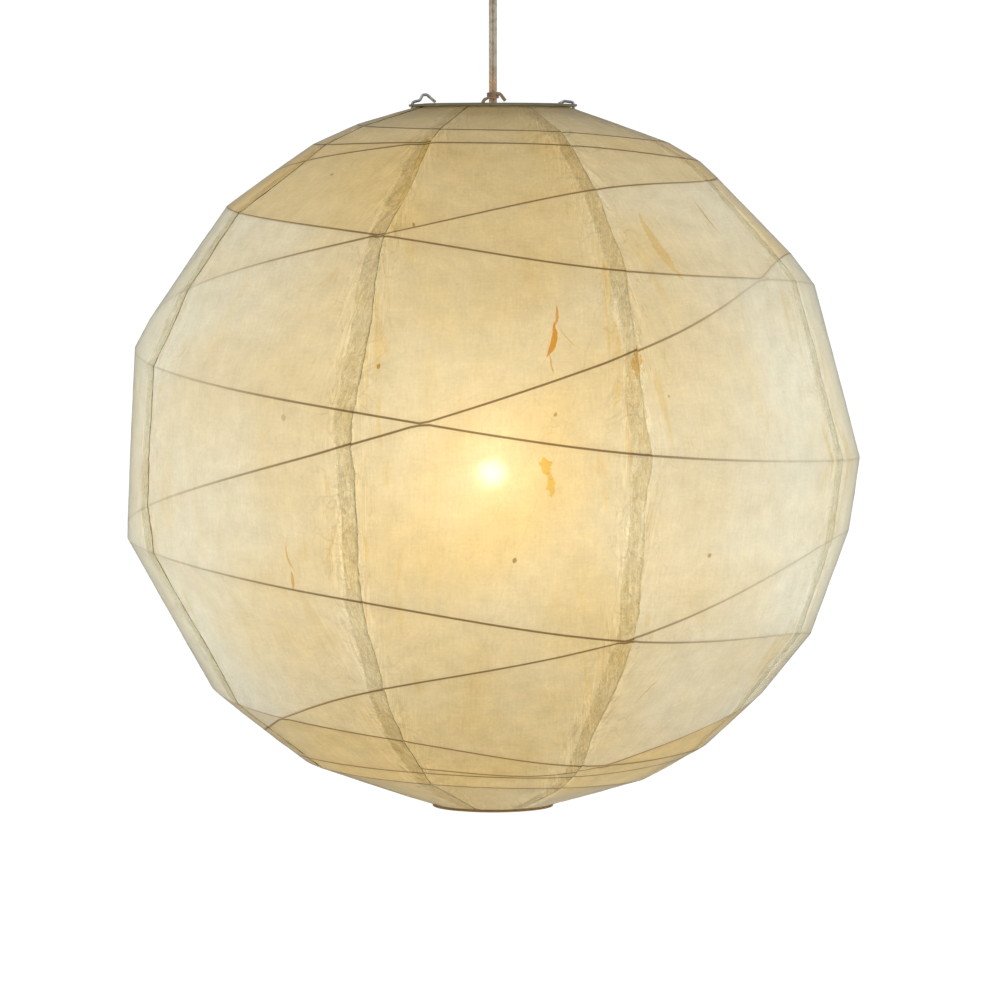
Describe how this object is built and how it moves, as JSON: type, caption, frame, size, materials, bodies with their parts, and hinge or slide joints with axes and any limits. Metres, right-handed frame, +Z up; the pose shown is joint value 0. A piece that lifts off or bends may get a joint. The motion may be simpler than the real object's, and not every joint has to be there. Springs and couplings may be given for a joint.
{
  "type": "paper lantern",
  "caption": "Round washi-paper pendant shade on crossing wire ribs, hung from a ceiling rose by its cord, with a wire hanger, lamp holder and frosted bulb; it folds flat.",
  "frame": {"origin": "on the ceiling face, on the cord's axis, at the top of the ceiling bracket", "axes": "+Z up, -Y to the front, +X to the right as seen from the front"},
  "size_m": [0.5479, 0.5457, 0.6588],
  "materials": {
    "paper": "cream washi paper with fibres, slightly translucent",
    "collar_paper": "doubled washi paper band, darker where it is glued",
    "rib_wire": "thin steel wire wrapped in brown paper",
    "ring_wire": "drawn steel wire",
    "hanger_steel": "bright drawn steel wire",
    "cord_jacket": "parallel two-core flex, translucent brown jacket",
    "tie_cord": "twisted brown tie",
    "holder_plastic": "off-white moulded plastic",
    "dark_plastic": "dark moulded plastic",
    "ceramic": "white glazed ceramic",
    "brass": "nickel-free stamped brass",
    "cap_metal": "rolled nickel-plated brass screw cap",
    "solder": "dull solder",
    "clear_glass": "clear glass",
    "frosted_glass": "frosted warm-white glass",
    "filament": "glowing filament",
    "rose_plastic": "off-white moulded plastic",
    "bracket_steel": "zinc-plated steel",
    "terminal_plastic": "white terminal block"
  },
  "bodies": {
    "rose": {"rose_cup": "rose_plastic", "ceiling_bracket": "bracket_steel", "rose_screw_left": "bracket_steel", "rose_screw_right": "bracket_steel", "terminal_block": "terminal_plastic"},
    "knot": {"cord_knot": "dark_plastic"},
    "cord": {"flex_cord": "cord_jacket"},
    "lantern": {"paper_gore_1": "paper", "paper_gore_2": "paper", "paper_gore_3": "paper", "paper_gore_4": "paper", "paper_gore_5": "paper", "paper_gore_6": "paper", "paper_gore_7": "paper", "paper_gore_8": "paper", "rib_long_spiral": "rib_wire", "rib_crossing_outer": "rib_wire", "rib_crossing_inner": "rib_wire", "top_ring": "ring_wire", "top_collar": "collar_paper", "hanger_wire": "hanger_steel", "cord_tie": "tie_cord", "holder_cap": "holder_plastic", "holder_body": "holder_plastic", "holder_ring": "holder_plastic", "cord_grip": "dark_plastic", "holder_insert": "ceramic", "terminal_screw_left": "brass", "terminal_screw_right": "brass", "screw_shell": "brass", "centre_contact": "brass"},
    "foot": {"bottom_ring": "ring_wire", "bottom_collar": "collar_paper"},
    "bulb": {"bulb_glass": "frosted_glass", "bulb_cap": "cap_metal", "bulb_cap_insulator": "dark_plastic", "bulb_tip_contact": "solder", "bulb_stem": "clear_glass", "bulb_filament": "filament"}
  },
  "joints": [
    {"name": "swing_sideways", "type": "hinge", "parent": "rose", "child": "knot", "pos_m": [0, 0, -0.031], "axis": [0, 1, 0], "range_deg": [-12, 12]},
    {"name": "swing_forward", "type": "hinge", "parent": "knot", "child": "cord", "pos_m": [0, 0, -0.031], "axis": [1, 0, 0], "range_deg": [-12, 12]},
    {"name": "lantern_turn", "type": "hinge", "parent": "cord", "child": "lantern", "pos_m": [0, 0, -0.3], "axis": [0, 0, 1], "range_deg": [-60, 60]},
    {"name": "shade_fold", "type": "slide", "parent": "lantern", "child": "foot", "axis": [0, 0, 1], "range_m": [0, 0.44], "deforming": ["paper_gore_1", "paper_gore_2", "paper_gore_3", "paper_gore_4", "paper_gore_5", "paper_gore_6", "paper_gore_7", "paper_gore_8", "rib_long_spiral", "rib_crossing_outer", "rib_crossing_inner"]},
    {"name": "bulb_release", "type": "slide", "parent": "lantern", "child": "bulb", "axis": [0, 0, -1], "range_m": [0, 0.1]}
  ]
}
